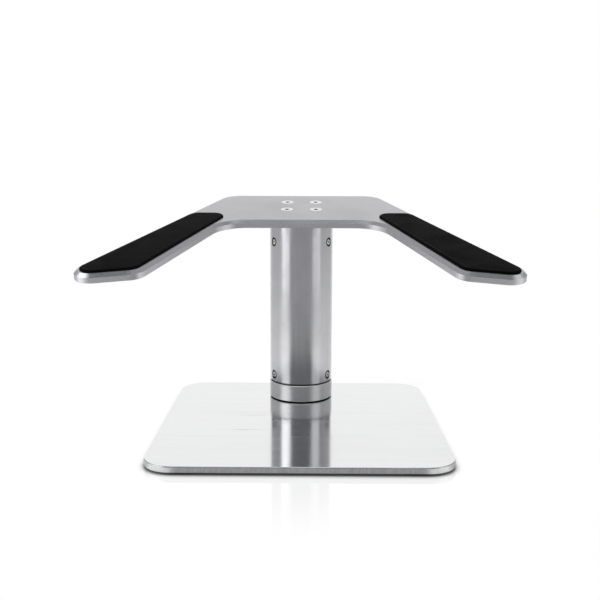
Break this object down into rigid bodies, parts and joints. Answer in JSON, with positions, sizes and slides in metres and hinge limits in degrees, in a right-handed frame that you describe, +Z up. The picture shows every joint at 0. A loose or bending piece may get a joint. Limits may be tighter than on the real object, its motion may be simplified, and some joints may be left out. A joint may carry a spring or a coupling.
{
  "type": "laptop riser",
  "caption": "Laptop riser with a square metal foot plate, a round swivelling column near its rear edge and a tilted fork-shaped cradle whose splayed arms carry black rubber pads.",
  "frame": {"origin": "on the desk, under the middle of the square foot plate", "axes": "+X to the user's right along the arms' span, -Y towards the user (the low end of the cradle), +Z up"},
  "size_m": [0.279, 0.202, 0.1676],
  "materials": {
    "brushed_base": "finely brushed bright steel",
    "satin_column": "turned satin aluminium",
    "satin_cradle": "blasted satin aluminium",
    "black_rubber": "matt black rubber",
    "bright_screw": "bright stainless steel",
    "black_washer": "black acetal",
    "spring_steel": "oiled spring steel",
    "bush_bronze": "bearing bronze"
  },
  "bodies": {
    "base": {"base_plate": "brushed_base", "foot_front_left": "black_rubber", "foot_front_right": "black_rubber", "foot_rear_left": "black_rubber", "foot_rear_right": "black_rubber", "base_gasket": "black_rubber", "fixed_collar": "satin_column", "collar_screws": "bright_screw", "thrust_washer": "black_washer", "pivot_bolt": "bright_screw", "pivot_washer": "bright_screw", "disc_spring": "spring_steel", "lock_nut": "bright_screw"},
    "swivel": {"swivel_hub": "satin_column", "pivot_bush": "bush_bronze", "column_tube": "satin_column", "tube_foot_screws": "bright_screw", "tube_head_plug": "satin_column", "tube_head_screws": "bright_screw", "cradle_plate": "satin_cradle", "cradle_screws": "bright_screw", "pad_left": "black_rubber", "pad_right": "black_rubber"}
  },
  "joints": [
    {"name": "base_swivel", "type": "hinge", "parent": "base", "child": "swivel", "pos_m": [0, 0.064, 0.0201], "axis": [0, 0, 1], "continuous": true}
  ]
}
